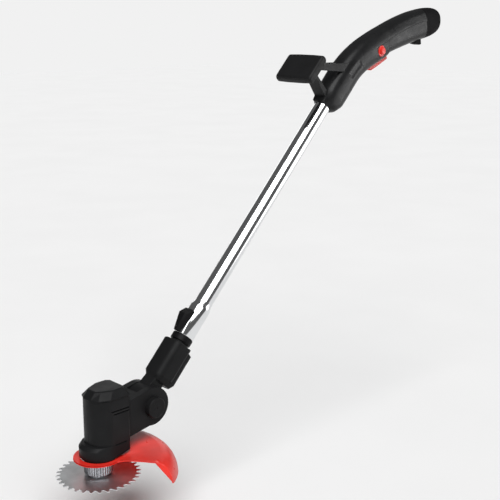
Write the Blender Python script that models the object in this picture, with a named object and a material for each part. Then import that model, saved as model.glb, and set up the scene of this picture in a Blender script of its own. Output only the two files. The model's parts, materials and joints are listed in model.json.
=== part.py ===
"""Cordless lawn edger: curved battery handle, chromed shaft, tilting motor head, guard and toothed blade.

Lengths are in millimetres. The tool frame has its origin at the blade's centre, +X towards the user,
+Z up. The shaft frame has its origin on the tilt axis, +Z up the shaft and +X to its underside.
"""
import math

import bmesh
import bpy
from mathutils import Matrix, Vector

MM = 0.001
GAP = 0.3
SMOOTH_ANGLE = math.radians(32)

# Frames
GRIP_POINT = Vector((835.0, 0.0, 754.0))
PIVOT = Vector((104.0, 0.0, 103.7))
SHAFT_ANGLE = math.radians(46.4)

# Shaft
TUBE_R = 16.5
TUBE_WALL = 1.2
SOCKET_R = 19.8
SOCKET_LOW = 142.0
SOCKET_HIGH = 203.0
FLARE_HIGH = 217.0
TUBE_HIGH = 758.0
COLLAR_R = 20.5
COLLAR_LOW = 129.5
SPIGOT_R = 18.2
SPIGOT_NECK_R = 16.6
SPIGOT_BORE_R = 13.0
SPIGOT_LOW = 92.0
SPIGOT_HIGH = 197.0
SPIGOT_FLANGE_R = 18.1
SPIGOT_FLANGE_HIGH = 98.0

# Release latch on the socket
LATCH_PIVOT_S = 166.0
LATCH_PIVOT_H = 23.5
LATCH_TRAVEL = 4.0

# Yoke
YOKE_TOP = 125.0
YOKE_LOW = 52.0
YOKE_HALF_Y = 24.0
YOKE_FRONT = 25.0
YOKE_REAR = 21.0
YOKE_CORNER = 14.0
YOKE_WALL = 2.6
YOKE_SPLIT = 8.0
TONGUE_R = 34.6
TONGUE_HALF_Y = 14.2
PIN_R = 5.0

# Motor head
BODY_FRONT = -19.5
BODY_REAR = 50.0
BODY_HALF_Y = 33.0
BODY_FRONT_CORNER = 30.0
BODY_REAR_CORNER = 7.0
BODY_LOW = 61.0
BODY_HIGH = 143.0
BODY_WALL = 2.6
CAP_HIGH = 158.5
CAP_INSET = 8.0
CAP_LEAN = 0.35
SPLIT_REACH = 38.0
WEB_SWING = (131, 236)
EAR_OUT = 28.0
EAR_IN = 14.7
EAR_R = 35.5
KNOB_R = 19.0
KNOB_FACE = 39.5
BASE_LOW = 34.2
BASE_R = 36.0
MOTOR_R = 17.8
MOTOR_LOW = 66.0
MOTOR_HIGH = 123.0
SPINDLE_R = 5.0
HUB_R = 25.5
HUB_LOW = 4.2
HUB_HIGH = 27.0

# Blade
BLADE_R = 75.0
BLADE_ROOT_R = 66.6
BLADE_TEETH = 32
BLADE_HALF = 0.8
BLADE_BORE_R = 5.05

# Guard
GUARD_R = 141.0
GUARD_TOP = 38.5
GUARD_BEND_R = 108.0
GUARD_RIM = -4.5
GUARD_THICK = 2.6
GUARD_RING_R = 43.5
GUARD_SCREW_R = 34.0
GUARD_SCREW_STEP = math.radians(41.6)
GUARD_TIP_R = 10.0
GUARD_TIP_TURN = math.radians(4.1)
GUARD_TIP_END = math.radians(3.0)
GUARD_FROM = math.radians(-58)
GUARD_TO = math.radians(44)

# Handle
HANDLE_START_S = 696.0
HANDLE_DROP = 3.0
HANDLE_STRAIGHT = 79.0
HANDLE_ARC_1 = (215.0, math.radians(22.0))
HANDLE_ARC_2 = (800.0, math.radians(19.0))
HANDLE_WALL = 2.6
TRIGGER_T = 166.0
TRIGGER_LENGTH = 62.0
TRIGGER_HALF_Y = 8.5
LOCK_BUTTON_T = 199.0
LOCK_BUTTON_R = 11.5

# Front grip, in the shaft frame
FRONT_GRIP_S = 707.0
FRONT_GRIP_H = 102.0
FRONT_GRIP_HALF_Y = 46.0
FRONT_GRIP_HALF_S = 32.0


def clear_scene():
    for item in list(bpy.data.objects):
        bpy.data.objects.remove(item, do_unlink=True)


def make_material(name, color, metallic, roughness):
    material = bpy.data.materials.new(name)
    material.use_nodes = True
    shader = material.node_tree.nodes["Principled BSDF"]
    shader.inputs["Base Color"].default_value = (*color, 1.0)
    shader.inputs["Metallic"].default_value = metallic
    shader.inputs["Roughness"].default_value = roughness
    return material


def make_empty(name, location, parent=None, turn_y=0.0):
    """An empty at a place in its parent's frame, turned about Y."""
    item = bpy.data.objects.new(name, None)
    bpy.context.scene.collection.objects.link(item)
    item.location = Vector(location) * MM
    item.rotation_euler = (0.0, turn_y, 0.0)
    item.parent = parent
    return item


def make_object(name, mesh_data, parent, material=None, shift=(0.0, 0.0, 0.0)):
    """Turns a bmesh in millimetres into an object under a frame."""
    bmesh.ops.remove_doubles(mesh_data, verts=mesh_data.verts, dist=1e-4)
    bmesh.ops.recalc_face_normals(mesh_data, faces=mesh_data.faces)
    bmesh.ops.translate(mesh_data, vec=Vector(shift), verts=mesh_data.verts)
    bmesh.ops.scale(mesh_data, vec=(MM, MM, MM), verts=mesh_data.verts)
    mesh = bpy.data.meshes.new(name)
    mesh_data.to_mesh(mesh)
    mesh_data.free()
    item = bpy.data.objects.new(name, mesh)
    bpy.context.scene.collection.objects.link(item)
    item.parent = parent
    mesh.shade_smooth()
    mesh.set_sharp_from_angle(angle=SMOOTH_ANGLE)
    if material is not None:
        mesh.materials.append(material)
    return item


def make_cutter(name, mesh_data, parent, shift=(0.0, 0.0, 0.0)):
    item = make_object(name, mesh_data, parent, None, shift)
    item.hide_render = True
    item.display_type = "WIRE"
    return item


def combine(item, other, operation):
    step = item.modifiers.new(other.name, "BOOLEAN")
    step.object = other
    step.operation = operation
    step.solver = "EXACT"
    return step


def arc(center, radius, start, end, count):
    """Points on a circular arc, angles in degrees, both ends included."""
    points = []
    for index in range(count + 1):
        angle = math.radians(start + (end - start) * index / count)
        points.append((center[0] + radius * math.cos(angle), center[1] + radius * math.sin(angle)))
    return points


def rounded_box(low, high, radii, count=5):
    """A rectangle with one corner radius each: low-low, high-low, high-high, low-high."""
    corners = (
        (low[0] + radii[0], low[1] + radii[0], 180, radii[0]),
        (high[0] - radii[1], low[1] + radii[1], 270, radii[1]),
        (high[0] - radii[2], high[1] - radii[2], 0, radii[2]),
        (low[0] + radii[3], high[1] - radii[3], 90, radii[3]),
    )
    points = []
    for x, y, start, radius in corners:
        points += arc((x, y), radius, start, start + 90, count)
    return points


def loft(rings):
    """Skins equal rings of points and closes both ends."""
    mesh_data = bmesh.new()
    rows = [[mesh_data.verts.new(point) for point in ring] for ring in rings]
    count = len(rows[0])
    for low, high in zip(rows, rows[1:]):
        for index in range(count):
            following = (index + 1) % count
            mesh_data.faces.new((low[index], low[following], high[following], high[index]))
    mesh_data.faces.new(list(reversed(rows[0])))
    mesh_data.faces.new(rows[-1])
    return mesh_data


def prism(outline, low, high, axis="Z"):
    """Extrudes an outline along an axis. The outline is (x, y), (x, z) or (y, z)."""
    place = {
        "Z": lambda a, b, level: (a, b, level),
        "Y": lambda a, b, level: (a, level, b),
        "X": lambda a, b, level: (level, a, b),
    }[axis]
    rings = [[place(a, b, level) for a, b in outline] for level in (low, high)]
    return loft(rings)


def box(low, high):
    outline = [(low[0], low[1]), (high[0], low[1]), (high[0], high[1]), (low[0], high[1])]
    return prism(outline, low[2], high[2])


def lathe(profile, segments=32, axis="Z", center=(0.0, 0.0)):
    """Spins a closed (radius, height) profile about an axis through center."""
    mesh_data = bmesh.new()
    columns = []
    for step in range(segments):
        angle = 2 * math.pi * step / segments
        column = []
        for radius, height in profile:
            across = center[0] + radius * math.cos(angle)
            along = center[1] + radius * math.sin(angle)
            place = {
                "Z": (across, along, height),
                "Y": (across, height, along),
                "X": (height, across, along),
            }[axis]
            column.append(mesh_data.verts.new(place))
        columns.append(column)
    count = len(profile)
    for step in range(segments):
        here = columns[step]
        after = columns[(step + 1) % segments]
        for index in range(count):
            following = (index + 1) % count
            if profile[index][0] == 0 and profile[following][0] == 0:
                continue
            mesh_data.faces.new((here[index], after[index], after[following], here[following]))
    bmesh.ops.remove_doubles(mesh_data, verts=mesh_data.verts, dist=1e-5)
    bmesh.ops.dissolve_degenerate(mesh_data, edges=mesh_data.edges, dist=1e-6)
    return mesh_data


def disc(radius, low, high, segments=32, axis="Z", center=(0.0, 0.0)):
    return lathe([(0.0, low), (radius, low), (radius, high), (0.0, high)], segments, axis, center)


def merge_meshes(pieces):
    """Several closed shapes in one mesh, kept as separate solids."""
    whole = bmesh.new()
    for piece in pieces:
        mesh = bpy.data.meshes.new("piece")
        piece.to_mesh(mesh)
        piece.free()
        whole.from_mesh(mesh)
        bpy.data.meshes.remove(mesh)
    return whole


def coil(radius, wire_r, low, high, turns, axis="Z", center=(0.0, 0.0)):
    """A round-wire compression spring with square ends."""
    per_turn = 12
    sides = 6
    rings = []
    for step in range(turns * per_turn + 1):
        angle = 2 * math.pi * step / per_turn
        rise = low + wire_r + (high - low - 2 * wire_r) * step / (turns * per_turn)
        ring = []
        for side in range(sides):
            bend = 2 * math.pi * side / sides
            reach = radius + wire_r * math.cos(bend)
            height = rise + wire_r * math.sin(bend)
            across = center[0] + reach * math.cos(angle)
            along = center[1] + reach * math.sin(angle)
            point = {
                "Z": (across, along, height),
                "Y": (across, height, along),
                "X": (height, across, along),
            }[axis]
            ring.append(point)
        rings.append(ring)
    return loft(rings)


def handle_point(t):
    """Place and slope on the handle's centre line, t millimetres from its mouth, in the tool frame."""
    slope = SHAFT_ANGLE
    start_x = PIVOT.x + HANDLE_START_S * math.cos(slope) + HANDLE_DROP * math.sin(slope)
    start_z = PIVOT.z + HANDLE_START_S * math.sin(slope) - HANDLE_DROP * math.cos(slope)
    run = min(t, HANDLE_STRAIGHT)
    x = start_x + run * math.cos(slope)
    z = start_z + run * math.sin(slope)
    left = t - run
    for radius, turn in (HANDLE_ARC_1, HANDLE_ARC_2):
        used = min(left / radius, turn)
        x += radius * (math.sin(slope) - math.sin(slope - used))
        z += radius * (math.cos(slope - used) - math.cos(slope))
        slope -= used
        left -= used * radius
    x += left * math.cos(slope)
    z += left * math.sin(slope)
    return x, z, slope


def handle_ring(t, half_y, half_up, half_down, lift=0.0, square=2.5, count=28):
    """One superelliptic section across the handle."""
    x, z, slope = handle_point(t)
    ring = []
    for step in range(count):
        angle = 2 * math.pi * (step + 0.5) / count
        side = math.copysign(abs(math.cos(angle)) ** (2 / square), math.cos(angle))
        rise = math.copysign(abs(math.sin(angle)) ** (2 / square), math.sin(angle))
        up = lift + rise * (half_up if rise > 0 else half_down)
        ring.append((x - up * math.sin(slope), side * half_y, z + up * math.cos(slope)))
    return ring


# t, half width, half height up, half height down
HANDLE_SECTIONS = (
    (0.0, 18.4, 18.4, 18.4),
    (4.0, 21.0, 21.0, 21.5),
    (14.0, 24.5, 27.0, 26.5),
    (30.0, 27.0, 31.0, 33.0),
    (80.0, 27.0, 31.5, 33.5),
    (110.0, 26.5, 31.0, 32.5),
    (140.0, 26.0, 31.0, 33.0),
    (170.0, 25.5, 32.0, 34.0),
    (205.0, 25.0, 32.0, 34.5),
    (226.0, 24.5, 32.0, 33.5),
    (238.0, 24.0, 32.0, 30.5),
    (280.0, 24.0, 33.0, 32.0),
    (330.0, 24.0, 34.0, 33.0),
    (372.0, 23.5, 33.5, 33.0),
)
TAIL_SECTIONS = (
    (372.3, 23.5, 33.5, 33.0),
    (394.0, 23.0, 32.5, 32.0),
    (411.0, 21.5, 30.5, 29.5),
    (426.0, 18.5, 26.5, 25.0),
    (437.5, 13.5, 20.0, 18.0),
    (444.5, 8.0, 12.0, 10.5),
    (447.0, 3.5, 5.5, 5.0),
)


def handle_envelope(grow):
    rings = []
    for t, half_y, up, down in HANDLE_SECTIONS:
        lift = HANDLE_DROP if t < 1 else 0.0
        square = 2.0 if t < 5 else 2.5
        rings.append(handle_ring(t, half_y + grow, up + grow, down + grow, lift, square))
    return rings


def handle_cavity():
    """The hollow: a round seat for the tube, then the space inside the walls."""
    seat = TUBE_R + GAP
    rings = [handle_ring(t, seat, seat, seat, HANDLE_DROP, 2.0) for t in (-2.0, TUBE_HIGH - HANDLE_START_S)]
    first = TUBE_HIGH - HANDLE_START_S + 1.0
    wall = HANDLE_WALL
    inner = [(first, 27.0, 31.5, 33.5)] + [entry for entry in HANDLE_SECTIONS if entry[0] > first]
    for t, half_y, up, down in inner:
        rings.append(handle_ring(t, half_y - wall, up - wall, down - wall))
    rings.append(handle_ring(HANDLE_SECTIONS[-1][0] + 3, 23.5 - wall, 33.5 - wall, 33 - wall))
    return rings


def local_frame(name, t, offset, parent):
    """An empty on the handle's path: +X along the handle, +Z across it."""
    x, z, slope = handle_point(t)
    place = (x - offset * math.sin(slope), 0.0, z + offset * math.cos(slope))
    return make_empty(name, place, parent, -slope)


def build_handle(tool, look):
    slot_frame = local_frame("trigger_pivot", TRIGGER_T, -27.0, tool)
    button_frame = local_frame("lock_button_axis", LOCK_BUTTON_T, -9.0, tool)
    catch_frame = local_frame("battery_catch_axis", 354.0, 0.0, tool)
    cavity = make_cutter("handle_cavity_cutter", loft(handle_cavity()), tool)
    low, high = -2.0, TRIGGER_LENGTH + 2.0
    side = TRIGGER_HALF_Y + 0.6
    slot = make_cutter("trigger_slot_cutter", box((low, -side, -30), (high, side, 6)), slot_frame)
    hole = make_cutter(
        "lock_hole_cutter", disc(LOCK_BUTTON_R + 0.4, -60, -10, 24, "Y"), button_frame
    )
    catch_hole = make_cutter("catch_hole_cutter", box((-13, -9, -50), (13, 9, -24)), catch_frame)
    for name, sign in (("handle_left_shell", -1), ("handle_right_shell", 1)):
        shell = make_object(name, loft(handle_envelope(0.0)), tool, look["handle"])
        near = sign * GAP / 2
        far = sign * 60.0
        half = box((400, min(near, far), 400), (1200, max(near, far), 1000))
        combine(shell, make_cutter(name + "_half", half, tool), "INTERSECT")
        combine(shell, cavity, "DIFFERENCE")
        combine(shell, slot, "DIFFERENCE")
        combine(shell, catch_hole, "DIFFERENCE")
        if sign < 0:
            combine(shell, hole, "DIFFERENCE")
    tail = [handle_ring(*section) for section in TAIL_SECTIONS]
    make_object("battery_tail_cap", loft(tail), tool, look["tail"])
    build_battery(tool, look)
    build_trigger(slot_frame, look)
    build_lock_button(button_frame, look)
    build_catch(catch_frame, look)


def build_battery(tool, look):
    frame = local_frame("battery_frame", 300.0, 0.0, tool)
    for number, (across, rise) in enumerate(((-9.6, -10.5), (9.6, -10.5), (0.0, 7.0)), 1):
        cell = disc(9.2, -33.0, 32.0, 16, "X", (across, rise))
        make_object("battery_cell_{}".format(number), cell, frame, look["cell"])
    board = box((-34, -14, 18.6), (34, 14, 20.2))
    make_object("battery_board", board, frame, look["board"])


def build_trigger(frame, look):
    length = TRIGGER_LENGTH
    outline = [(0.5, -3.0), (0.5, -9.6)]
    outline += arc((4.0, -10.4), 3.5, 180, 270, 4)
    outline += [(length * 0.5, -14.8), (length - 4.0, -14.8)]
    outline += arc((length - 2.0, -12.8), 2.0, 270, 360, 3)
    outline += [(length, -4.0), (length - 8.0, -1.5), (10.0, 4.0), (3.0, 4.0)]
    body = prism(outline, -TRIGGER_HALF_Y, TRIGGER_HALF_Y, "Y")
    trigger = make_object("trigger", body, frame, look["red"])
    bore = make_cutter("trigger_bore_cutter", disc(2.1, -20, 20, 16, "Y"), frame)
    combine(trigger, bore, "DIFFERENCE")
    make_object("trigger_pin", disc(2.0, -10.4, 10.4, 16, "Y"), frame, look["steel"])
    make_object("trigger_switch", box((5, -7, 8), (24, 7, 22)), frame, look["dark"])
    spring = coil(3.0, 0.6, 0.7, 8.6, 4, "Z", (43.0, 0.0))
    make_object("trigger_spring", spring, frame, look["steel"])


def build_lock_button(frame, look):
    radius = LOCK_BUTTON_R
    profile = [(0.0, -29.6), (5.6, -29.5), (6.9, -28.9), (7.3, -28.0), (7.5, -24.6), (radius - 0.5, -24.4)]
    profile += [(radius, -23.9)]
    profile += [(radius, -13.0), (4.0, -13.0), (4.0, -8.0), (0.0, -8.0)]
    make_object("lock_off_button", lathe(profile, 24, "Y"), frame, look["red"])
    make_object("lock_off_spring", coil(6.2, 0.6, -12.8, -3.6, 3, "Y"), frame, look["steel"])


def build_catch(frame, look):
    outline = [(-11.5, -27.5), (-11.5, -33.0), (-9.0, -38.5), (5.0, -43.5)]
    outline += [(11.0, -43.5), (11.5, -42.5), (11.5, -27.5)]
    make_object("battery_catch", prism(outline, -8.3, 8.3, "Y"), frame, look["tail"])
    spring = coil(4.2, 0.6, -27.2, -20.6, 3, "Z")
    make_object("battery_catch_spring", spring, frame, look["steel"])


def build_front_grip(shaft, tool, look):
    """Cross bar pad, and the moulded bracket with two arms and a lower plate to the handle's mouth."""
    s, h, half_y = FRONT_GRIP_S, FRONT_GRIP_H, FRONT_GRIP_HALF_Y
    rings = []
    for across, shrink in ((-1.0, 3.0), (-0.94, 0.6), (-0.4, 0.0), (0.4, 0.0), (0.94, 0.6), (1.0, 3.0)):
        outline = rounded_box(
            (-h - 10.5 + shrink, s - FRONT_GRIP_HALF_S + shrink),
            (-h + 8.5 - shrink, s + FRONT_GRIP_HALF_S - shrink), (7.0,) * 4, 4
        )
        rings.append([(x, across * half_y, z) for x, z in outline])
    pad = make_object("front_grip_pad", loft(rings), shaft, look["pad"])
    spine = box((-h - 4.0, -half_y + 4.0, s - 19.0), (-h + 5.0, half_y - 4.0, s + 19.0))
    hollow = make_cutter("front_grip_hollow_cutter", box(
        (-h - 4.3, -half_y + 3.7, s - 19.3), (-h + 12.0, half_y - 3.7, s + 19.3)), shaft)
    combine(pad, hollow, "DIFFERENCE")
    bracket = make_object("front_grip_bracket", spine, shaft, look["bracket"])
    back = -h + 4.0
    for sign in (-1, 1):
        ends = ((back, s + 18.5), (back, s + 6.0), (-h + 9.5, s + 8.0), (-20.0, 774.0), (-20.0, 797.0),
                (-h + 10.6, s + 23.0), (-h + 9.4, s + 18.5))
        low, high = sorted((sign * 16.0, sign * 22.5))
        arm = make_cutter("arm_shape_{}".format(low), prism(list(ends), low, high, "Y"), shaft)
        combine(bracket, arm, "UNION")
    plate = [(back, s - 4.0), (back, s + 12.0), (-72.0, 721.0), (-18.0, 718.5), (-8.0, 718.0)]
    plate += [(-8.0, 697.0), (-19.6, 697.0), (-22.0, 707.0), (-56.0, 713.5), (-82.0, 713.0)]
    low_plate = make_cutter("plate_shape", prism(plate, -14.0, 14.0, "Y"), shaft)
    combine(bracket, low_plate, "UNION")
    keep_out = make_cutter("bracket_handle_cutter", loft(handle_envelope(GAP)), tool)
    combine(bracket, keep_out, "DIFFERENCE")
    tube_room = make_cutter("bracket_tube_cutter", disc(TUBE_R + GAP, 600, 800, 32), shaft)
    combine(bracket, tube_room, "DIFFERENCE")


def build_shaft(shaft, look):
    outer = [(SOCKET_R, SOCKET_LOW), (SOCKET_R, SOCKET_HIGH), (19.0, 207.0), (17.3, 213.0)]
    outer += [(TUBE_R, FLARE_HIGH), (TUBE_R, TUBE_HIGH)]
    inner = [(radius - TUBE_WALL, height) for radius, height in reversed(outer)]
    tube = make_object("shaft_tube", lathe(outer + inner, 40), shaft, look["chrome"])
    window = make_cutter("latch_window_cutter", box((-30, -4.6, 147), (-10, 4.6, 156)), shaft)
    combine(tube, window, "DIFFERENCE")
    ring = [(SPIGOT_NECK_R + GAP, COLLAR_LOW), (COLLAR_R, COLLAR_LOW), (COLLAR_R, SOCKET_LOW - 1.3)]
    ring += [(COLLAR_R - 1.0, SOCKET_LOW - GAP), (SPIGOT_NECK_R + GAP, SOCKET_LOW - GAP)]
    make_object("socket_collar", lathe(ring, 32), shaft, look["collar"])
    profile = [(SPIGOT_BORE_R, SPIGOT_LOW), (SPIGOT_FLANGE_R, SPIGOT_LOW)]
    profile += [(SPIGOT_FLANGE_R, SPIGOT_FLANGE_HIGH), (SPIGOT_NECK_R, SPIGOT_FLANGE_HIGH)]
    profile += [(SPIGOT_NECK_R, SOCKET_LOW + 0.5), (SPIGOT_R, SOCKET_LOW + 0.5)]
    profile += [(SPIGOT_R, SPIGOT_HIGH), (SPIGOT_BORE_R, SPIGOT_HIGH)]
    spigot = make_object("plug_spigot", lathe(profile, 32), shaft, look["yoke"])
    pocket = make_cutter("spigot_pocket_cutter", box((-30, -4.9, 146.5), (-15.4, 4.9, 156.5)), shaft)
    combine(spigot, pocket, "DIFFERENCE")
    lead = [(0.0, 200.0), (2.6, 200.0), (2.6, 770.0), (0.0, 770.0)]
    make_object("power_lead", lathe(lead, 12), shaft, look["lead"])
    contact = disc(SPIGOT_BORE_R - GAP, 180.0, 199.6, 24)
    make_object("plug_contacts", contact, shaft, look["dark"])


def build_latch(shaft, look):
    """Rocker latch: pressing its thick top end lifts the tooth out of the spigot."""
    frame = make_empty("latch_pivot", (-LATCH_PIVOT_H, 0, LATCH_PIVOT_S), shaft)
    low, high = SOCKET_LOW - LATCH_PIVOT_S, 189.0 - LATCH_PIVOT_S
    rings = []
    for level, width, top in ((low, 6.6, 28.0), (low + 8, 7.6, 29.6), (high - 14, 10.8, 35.0), (high, 12.0, 24.8)):
        skin = LATCH_PIVOT_H
        ring = [(-(14.5 - skin), -width), (-(top - 4 - skin), -width + 0.4), (-(top - skin), -width + 3.4)]
        ring += [(-(top - skin), width - 3.4), (-(top - 4 - skin), width - 0.4), (-(14.5 - skin), width)]
        rings.append([(x, y, level) for x, y in ring])
    latch = make_object("latch_rocker", loft(rings), frame, look["latch"])
    cutter = make_cutter("latch_seat_cutter", disc(SOCKET_R + 0.5, 120, 200, 40), shaft)
    combine(latch, cutter, "DIFFERENCE")
    lean = make_empty("latch_lean", (-LATCH_PIVOT_H, 0, LATCH_PIVOT_S), shaft,
                      -math.radians(LATCH_TRAVEL + 0.6))
    reach = disc(SOCKET_R + 0.5, -46, 34, 40, "Z", (LATCH_PIVOT_H, 0.0))
    combine(latch, make_cutter("latch_swing_cutter", reach, lean), "DIFFERENCE")
    tooth = box((LATCH_PIVOT_H - 21.5, -4.0, -17.0), (LATCH_PIVOT_H - 16.3, 4.0, -12.6))
    combine(latch, make_cutter("latch_tooth_shape", tooth, frame), "UNION")


def yoke_outline(grow, count=5):
    """Cross-section of the yoke body, x to the underside."""
    corner = YOKE_CORNER + grow
    low = (-YOKE_FRONT - grow, -YOKE_HALF_Y - grow)
    high = (YOKE_REAR + grow, YOKE_HALF_Y + grow)
    return rounded_box(low, high, (corner,) * 4, count)


def build_yoke(shaft, look):
    front = make_object("yoke_front_shell", loft(yoke_rings()), shaft, look["yoke"])
    room = make_cutter("yoke_room_cutter", prism(yoke_outline(-YOKE_WALL), 64, YOKE_TOP - 3.0), shaft)
    mouth = make_cutter("yoke_mouth_cutter", disc(SPIGOT_NECK_R + GAP, 110, 160, 32), shaft)
    half = make_cutter("yoke_front_half", box((-60, -60, -60), (YOKE_SPLIT, 60, 200)), shaft)
    combine(front, half, "INTERSECT")
    combine(front, make_cutter("tongue_shape", tongue_shape(), shaft), "UNION")
    for cutter in (room, mouth):
        combine(front, cutter, "DIFFERENCE")
    bore = make_cutter("tongue_bore_cutter", disc(PIN_R + 0.05, -30, 30, 24, "Y"), shaft)
    combine(front, bore, "DIFFERENCE")
    cover_outline = rounded_box((YOKE_SPLIT + GAP, -20.5), (30.5, 20.5), (1.0, 9.0, 9.0, 1.0), 4)
    small = rounded_box((YOKE_SPLIT + GAP, -17.0), (25.0, 17.0), (1.0, 7.0, 7.0, 1.0), 4)
    rings = [[(x, y, 44.0) for x, y in small], [(x, y, 54.0) for x, y in cover_outline]]
    rings += [[(x, y, 116.5) for x, y in cover_outline], [(x, y, 119.5) for x, y in small]]
    cover = make_object("yoke_rear_cover", loft(rings), shaft, look["yoke"])
    base = make_cutter("yoke_rear_body", prism(yoke_outline(0.0), 56.0, YOKE_TOP), shaft)
    rear_half = make_cutter("yoke_rear_half", box((YOKE_SPLIT + GAP, -60, 0), (60, 60, 200)), shaft)
    combine(cover, base, "UNION")
    combine(cover, rear_half, "INTERSECT")
    for cutter in (room, mouth):
        combine(cover, cutter, "DIFFERENCE")
    clear = make_cutter("cover_tongue_cutter", disc(TONGUE_R + 4, -60, 60, 32, "Y"), shaft)
    combine(cover, clear, "DIFFERENCE")


def yoke_rings():
    sizes = ((YOKE_LOW - 8.0, 0.74), (YOKE_LOW + 3.0, 1.0), (YOKE_TOP - 2.0, 1.0), (YOKE_TOP, 0.94))
    return [[(x * size, y * size, level) for x, y in yoke_outline(0.0)] for level, size in sizes]


def tongue_shape():
    """The eye between the head's ears, running up into the yoke body."""
    outline = arc((0.0, 0.0), TONGUE_R, 130, 415, 24)
    outline += [(YOKE_SPLIT - 0.5, 34.0), (YOKE_SPLIT - 0.5, 60.0), (-YOKE_FRONT + 8.0, 60.0),
                (-YOKE_FRONT + 3.0, 28.0)]
    return prism(outline, -TONGUE_HALF_Y, TONGUE_HALF_Y, "Y")


def body_outline(grow, count=7):
    front = BODY_FRONT_CORNER + grow
    rear = BODY_REAR_CORNER + grow
    low = (BODY_FRONT - grow, -BODY_HALF_Y - grow)
    high = (BODY_REAR + grow, BODY_HALF_Y + grow)
    return rounded_box(low, high, (front, rear, rear, front), count)


def ear_outline():
    """Side view of an ear: the round boss and its arm to the motor body."""
    points = arc((PIVOT.x, PIVOT.z), EAR_R, -104, 98, 20)
    return points + [(44.0, 129.0), (44.0, BODY_LOW + 0.2)]


def web_shape(sign):
    """The wall between the ears, from the motor body back to the swing of the knuckle."""
    clear = TONGUE_R + 1.4
    swing = arc((PIVOT.x, PIVOT.z), clear, *WEB_SWING, 14)
    outline = [(44.0, BODY_LOW + 0.2), (44.0, 129.0), (77.5, 134.9)] + swing
    low, high = sorted((sign * GAP / 2, sign * (EAR_IN + 0.5)))
    return prism(outline, low, high, "Y")


def build_body(head, look):
    room = make_cutter(
        "body_room_cutter", prism(body_outline(-BODY_WALL), BODY_LOW + 3.0, BODY_HIGH + 5), head, -PIVOT
    )
    port = make_cutter("body_port_cutter", disc(12.0, BODY_LOW - 5, BODY_LOW + 10, 24), head, -PIVOT)
    knob_room = make_cutter(
        "knob_room_cutter", disc(KNOB_R + 0.4, -60, -17.5, 32, "Y", (PIVOT.x, PIVOT.z)), head, -PIVOT
    )
    pin_hole = make_cutter(
        "ear_pin_cutter", disc(PIN_R + 0.3, -60, 60, 24, "Y", (PIVOT.x, PIVOT.z)), head, -PIVOT
    )
    head_room = make_cutter(
        "pin_head_cutter", disc(9.4, 23.0, 60, 24, "Y", (PIVOT.x, PIVOT.z)), head, -PIVOT
    )
    motor_room = make_cutter("motor_room_cutter", disc(MOTOR_R + GAP, 60, 160, 32), head, -PIVOT)
    slots = []
    for level, start in ((121.0, 8.0), (115.4, 12.0)):
        slots.append(box((start, -60, level), (BODY_REAR + 2, -28, level + 2.2)))
        slots.append(box((start, 28, level), (BODY_REAR + 2, 60, level + 2.2)))
    vents = make_cutter("vent_cutter", merge_meshes(slots), head, -PIVOT)
    for name, sign in (("motor_body_left", -1), ("motor_body_right", 1)):
        near, far = sorted((sign * GAP / 2, sign * SPLIT_REACH))
        side = make_object(name, prism(body_outline(0.0), BODY_LOW, BODY_HIGH), head, look["head"], -PIVOT)
        low, high = sorted((sign * EAR_IN, sign * EAR_OUT))
        ear = make_cutter(name + "_ear", prism(ear_outline(), low, high, "Y"), head, -PIVOT)
        combine(side, ear, "UNION")
        combine(side, make_cutter(name + "_web", web_shape(sign), head, -PIVOT), "UNION")
        half = box((-100, near, 0), (200, far, 200))
        combine(side, make_cutter(name + "_half", half, head, -PIVOT), "INTERSECT")
        for cutter in (room, port, pin_hole, vents, motor_room):
            combine(side, cutter, "DIFFERENCE")
        combine(side, knob_room if sign < 0 else head_room, "DIFFERENCE")
    cap_sizes = ((BODY_HIGH + GAP, 0.5), (BODY_HIGH + 2.6, 0.5))
    cap_sizes += ((CAP_HIGH - 1.2, -CAP_INSET + 1.2), (CAP_HIGH, -CAP_INSET - 0.8))
    rings = []
    for level, grow in cap_sizes:
        back = max(0.0, -grow) * CAP_LEAN
        rings.append([(x + back, y, level) for x, y in facet_outline(grow)])
    make_object("motor_top_cap", loft(rings), head, look["head"], -PIVOT)


def facet_outline(grow):
    """The cap's outline: the body's, with its front in flat facets."""
    low_x, high_x, half_y = BODY_FRONT - grow, BODY_REAR + grow, BODY_HALF_Y + grow
    nose, flank, cut = 10.0, 27.0, 6.0
    return [
        (low_x, -nose), (low_x + 7.5, -half_y + 8.5), (low_x + flank, -half_y),
        (high_x - cut, -half_y), (high_x, -half_y + cut), (high_x, half_y - cut),
        (high_x - cut, half_y), (low_x + flank, half_y),
        (low_x + 7.5, half_y - 8.5), (low_x, nose),
    ]


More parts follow.
